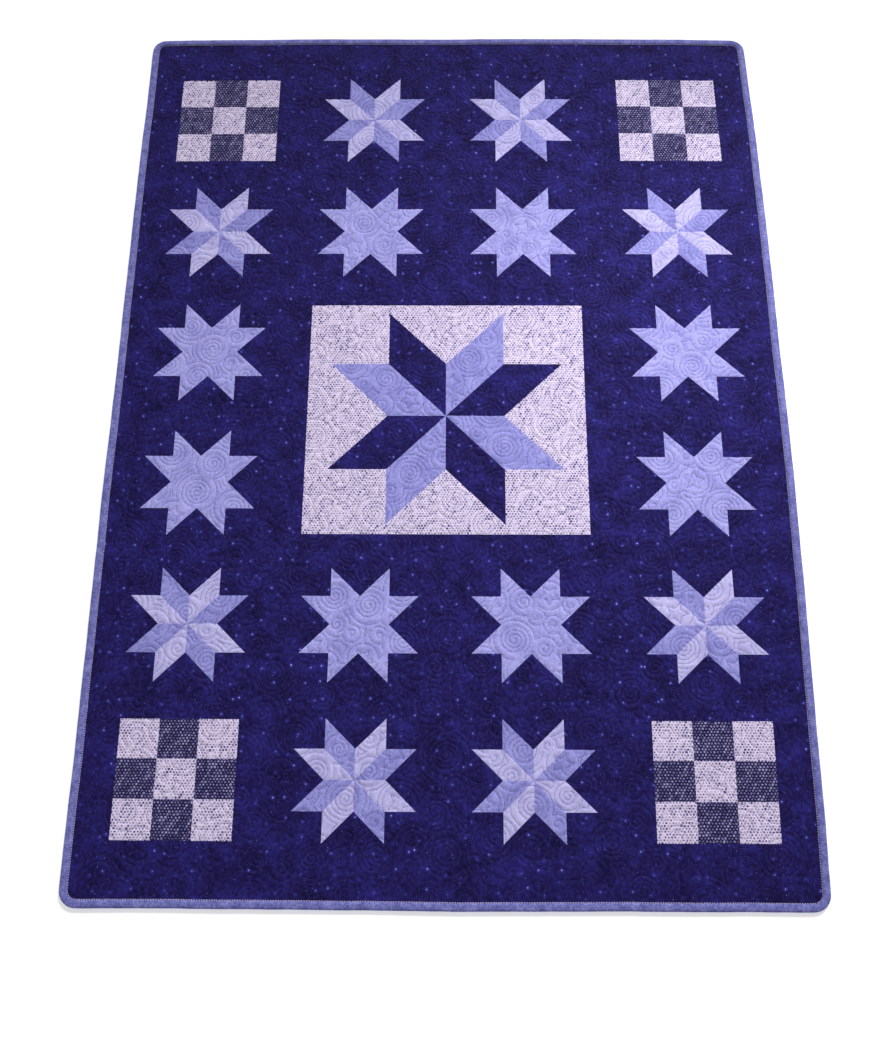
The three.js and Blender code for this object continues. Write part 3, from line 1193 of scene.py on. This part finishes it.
@dataclass
class Backing:
    """The cloth on the underside, flat on the surface and lifted into the binding."""

    form: QuiltForm
    cell: float = 12.0

    def build(self) -> bpy.types.Object:
        """Makes the backing.

        Returns:
            The backing cloth, its face down.
        """
        half_x = self.form.half_x - self.form.layer_edge
        half_y = self.form.half_y - self.form.layer_edge
        columns = np.linspace(-half_x, half_x, round(2 * half_x / self.cell) + 1)
        rows = np.linspace(-half_y, half_y, round(2 * half_y / self.cell) + 1)
        x, y = self.form.round_corner(*np.meshgrid(columns, rows), self.form.layer_edge)
        z = self.form.backing_height(x, y)
        points = np.stack([*self.form.lay(x, y), z], -1).reshape(-1, 3)
        number = np.arange(len(points)).reshape(len(rows), -1)
        faces = np.stack([number[:-1, :-1], number[1:, :-1], number[1:, 1:], number[:-1, 1:]], -1)
        faces = faces.reshape(-1, 4)
        piece = mesh_piece("backing_cloth", points, faces, {BAKE_MAP: flat_map(points, faces)},
                           [BACKING_COTTON.material()])
        declare(piece, "backing")
        return piece


@dataclass
class EdgeStrip:
    """A strip of cloth that follows the quilt's edge all the way round."""

    form: QuiltForm
    name: str
    node: str
    slot: str
    finish: Cotton
    step: float = 6.0
    waver: float = 1.6
    seed: int = 7
    map_rows: int = 16
    print_middle: float = 0.0

    def section(self) -> np.ndarray:
        """Gives the strip's section as depth inside the outline and height, n by 2."""
        raise NotImplementedError

    def unevenness(self, run: np.ndarray) -> np.ndarray:
        """Gives the small sideways and upward wander of the sewn edge.

        Args:
            run: distance along the edge.

        Returns:
            Wander in depth and in height, n by 2.
        """
        random = np.random.default_rng(self.seed)
        total = np.zeros((len(run), 2))
        around = run[-1] + self.step
        for waves in (9, 17, 31, 58, 97, 140):
            phase = random.uniform(0, 2 * math.pi, 2)
            size = random.uniform(0.4, 1.0, 2) * self.waver * min(1.0, 14 / waves) / 2
            total += size * np.sin(2 * math.pi * waves * run[:, None] / around + phase)
        return total

    def build(self) -> bpy.types.Object:
        """Makes the strip.

        Returns:
            The strip as one ring of cloth.
        """
        outline, ways = self.form.outline(self.step)
        run = np.append(0, np.cumsum(np.hypot(*np.diff(outline, axis=0).T)))
        section, wander = self.section(), self.unevenness(run)
        lift = section[:, 1] / section[:, 1].max()
        depth = section[None, :, 0] + wander[:, :1]
        cut = outline[:, None] - ways[:, None] * depth[..., None]
        z = section[None, :, 1] + 0.4 * wander[:, 1:] * lift
        points = np.stack([*self.form.lay(cut[..., 0], cut[..., 1]), np.maximum(z, 0)], -1)
        stations, corners = len(outline), len(section)
        number = np.arange(stations * corners).reshape(stations, corners)
        after = np.roll(number, -1, axis=0)
        faces = np.stack([number[:, :-1], after[:, :-1], after[:, 1:], number[:, 1:]], -1)
        girth = np.append(0, np.cumsum(np.hypot(*np.diff(section, axis=0).T)))
        shown = cut[:, np.abs(girth - self.print_middle).argmin()]
        ends = np.append(0, np.cumsum(np.hypot(*np.diff(shown, axis=0, append=shown[:1]).T)))
        maps = {BAKE_MAP: self.bake_map(stations, girth / girth[-1]),
                STRIP_MAP: self.corner_map(ends[:-1], ends[1:], girth - self.print_middle) * MM}
        piece = mesh_piece(self.name, points.reshape(-1, 3), faces.reshape(-1, 4), maps,
                           [self.finish.material()])
        declare(piece, self.node)
        return piece

    def bake_map(self, stations: int, girth: np.ndarray) -> np.ndarray:
        """Lays the ring out flat in rows, one above the other.

        Args:
            stations: how many stations the ring has.
            girth: place of each section point across the strip, from 0 to 1.

        Returns:
            The map place of each corner of each face.
        """
        per_row = math.ceil(stations / self.map_rows)
        station = np.arange(stations)
        row, part = station // per_row, station % per_row
        flat = self.corner_map(part / per_row, (part + 1) / per_row, 0.02 + 0.96 * girth)
        flat = flat.reshape(stations, -1, 4, 2)
        flat[..., 1] = (row[:, None, None] + flat[..., 1]) / self.map_rows
        return flat.reshape(-1, 4, 2)

    @staticmethod
    def corner_map(low: np.ndarray, high: np.ndarray, across: np.ndarray) -> np.ndarray:
        """Maps each face corner by its place along and across the strip.

        Args:
            low: place along the strip where each station begins.
            high: place along the strip where each station ends.
            across: place of each section point across the strip.

        Returns:
            The map place of each corner of each face.
        """
        shape = (len(low), len(across) - 1)
        near, far = across[:-1], across[1:]
        u = np.stack([np.broadcast_to(v[:, None], shape) for v in (low, high, high, low)], -1)
        v = np.stack([np.broadcast_to(w, shape) for w in (near, near, far, far)], -1)
        return np.stack([u, v], -1).reshape(-1, 4, 2)


@dataclass
class Binding(EdgeStrip):
    """The folded strip that wraps the raw edge, rounded over the layers."""

    round_steps: int = 8
    overlap: float = 0.6

    def section(self) -> np.ndarray:
        """Runs from the underside, round the outer edge, to the sewn inner edge on top."""
        half = self.form.binding_top / 2
        width = self.form.binding_width + self.overlap
        turn = np.linspace(-math.pi / 2, math.pi / 2, self.round_steps + 1)
        outer = np.stack([half * (1 - np.cos(turn)), half * (1 + np.sin(turn))], 1)
        upper = [(width * 0.55, 2 * half + 0.25), (width * 0.8, 2 * half),
                 (width - 0.8, 2 * half - 0.6), (width, 2 * half - 1.6),
                 (width - 0.5, self.form.flange_underside)]
        return np.concatenate([[(width, 0.0)], outer, upper])


@dataclass
class Flange(EdgeStrip):
    """The narrow fold of dotted cloth that shows along the binding's inner edge."""

    tuck: float = 9.0

    def __post_init__(self) -> None:
        """Centres a row of printed dots on the part that shows."""
        shown = self.form.flange_shown
        self.print_middle = self.form.binding_width + shown / 2 - self.tuck

    def section(self) -> np.ndarray:
        """Runs from under the binding to the fold that shows, and back under it."""
        inner = self.form.binding_width + self.form.flange_shown
        low = self.form.flange_underside
        high = low + self.form.flange_cloth
        return np.array([(self.tuck, high), (inner - 1.2, high), (inner - 0.3, high - 0.2),
                         (inner, high - 0.5), (inner - 0.3, low), (inner - 2.0, low)])


@dataclass
class Studio:
    """Pale floor, soft lights and the camera above the foot of the quilt."""

    floor_size: float = 9.0
    floor_drop: float = 0.0004
    floor_glow: float = 0.45
    sky: float = 0.29
    backdrop: float = 0.85
    key_place: tuple = (1.1, 3.0, 2.2)
    key_power: float = 2.15
    key_softness: float = 12.0
    pool_place: tuple = (1.0, 1.0, 1.4)
    pool_aim: tuple = (0.35, 0.1, 0.0)
    pool_size: float = 0.6
    pool_power: float = 3.4
    pool_spread: float = 76.0
    lens: float = 41.07
    camera_place: tuple = (0.0069, -1.1961, 2.4677)
    pitch: float = 69.497
    yaw: float = -1.725
    roll: float = -1.44

    def build_floor(self) -> bpy.types.Object:
        """Makes the floor."""
        deselect_all()
        bpy.ops.mesh.primitive_plane_add(size=self.floor_size, location=(0, 0, -self.floor_drop))
        floor = bpy.context.object
        floor.name = "floor"
        material = bpy.data.materials.new("pale_floor")
        material.use_nodes = True
        shader = material.node_tree.nodes["Principled BSDF"]
        shader.inputs["Base Color"].default_value = linear("f6f6f6")
        shader.inputs["Roughness"].default_value = 0.9
        shader.inputs["Specular IOR Level"].default_value = 0.1
        shader.inputs["Emission Color"].default_value = linear("ffffff")
        shader.inputs["Emission Strength"].default_value = self.floor_glow
        floor.data.materials.append(material)
        return floor

    def add_light(self, name: str, kind: str, place: tuple, aim: tuple, power: float) -> bpy.types.Light:
        """Adds a light that points at a place.

        Args:
            name: the light's name.
            kind: its Blender type.
            place: where it stands, in metres.
            aim: what it points at, in metres.
            power: its power.

        Returns:
            The light's settings.
        """
        data = bpy.data.lights.new(name, kind)
        data.energy = power
        light = bpy.data.objects.new(name, data)
        bpy.context.scene.collection.objects.link(light)
        away = np.array(place) - np.array(aim)
        turn = math.atan2(away[1], away[0])
        tilt = math.acos(away[2] / np.linalg.norm(away))
        light.location = place
        light.rotation_euler = (0.0, tilt, turn)
        return data

    def build_lights(self) -> None:
        """Sets the soft sky, the key light from beyond the head end and a pool to the right."""
        world = bpy.data.worlds.new("soft_sky")
        world.use_nodes = True
        tree = world.node_tree
        tree.nodes["Background"].inputs["Color"].default_value = linear("ffffff")
        ray = add_node(tree, "ShaderNodeLightPath")
        seen = add_node(tree, "ShaderNodeMapRange",
                        {"Value": ray.outputs["Is Camera Ray"], "To Min": self.sky,
                         "To Max": self.backdrop})
        tree.links.new(seen.outputs[0], tree.nodes["Background"].inputs["Strength"])
        bpy.context.scene.world = world
        key = self.add_light("key", "SUN", self.key_place, (0.0, 0.0, 0.0), self.key_power)
        key.angle = math.radians(self.key_softness)
        pool = self.add_light("pool", "AREA", self.pool_place, self.pool_aim, self.pool_power)
        pool.size = self.pool_size
        pool.spread = math.radians(self.pool_spread)

    def build_camera(self) -> None:
        """Places the camera at the photograph's angle."""
        pitch, yaw, roll = (math.radians(a) for a in (self.pitch, self.yaw, self.roll))
        down, level = math.sin(pitch), math.cos(pitch)
        tilt = Matrix(((1, 0, 0), (0, -down, -level), (0, level, -down)))
        swing = Matrix.Rotation(yaw, 3, "Z")
        lean = Matrix.Rotation(roll, 3, "Z")
        rows = lean @ tilt @ swing
        turn = Matrix((rows[0], -rows[1], -rows[2])).transposed()
        data = bpy.data.cameras.new("camera")
        data.lens = self.lens
        data.sensor_width = 36.0
        camera = bpy.data.objects.new("camera", data)
        bpy.context.scene.collection.objects.link(camera)
        camera.matrix_world = Matrix.Translation(self.camera_place) @ turn.to_4x4()
        bpy.context.scene.camera = camera

    def build(self) -> None:
        """Makes the floor, lights and camera, and sets plain colour display."""
        self.build_camera()
        self.build_floor()
        self.build_lights()
        bpy.context.scene.view_settings.view_transform = "Standard"


def main() -> None:
    """Builds the quilt and its studio in order."""
    logging.basicConfig(level=logging.INFO, format="%(message)s")
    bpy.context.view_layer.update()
    form = QuiltForm()
    Studio().build()
    quilting = Quilting(form)
    metres = sum(len(line) for line in quilting.lines) * quilting.sample * MM
    LOG.info("quilting: %d figures, %.0f m of line", len(quilting.radii), metres)
    pieces = [Backing(form).build()]
    pieces += QuiltedTop(form, Piecing(), quilting).build()
    pieces.append(Flange(form, "flange_strip", "flange", "flange_cotton", FLANGE_COTTON).build())
    pieces.append(Binding(form, "binding_strip", "binding", "binding_cotton",
                          BINDING_COTTON).build())
    for piece in pieces:
        LOG.info("%s: %d faces", piece.name, len(piece.data.polygons))


if __name__ == "__main__":
    main()
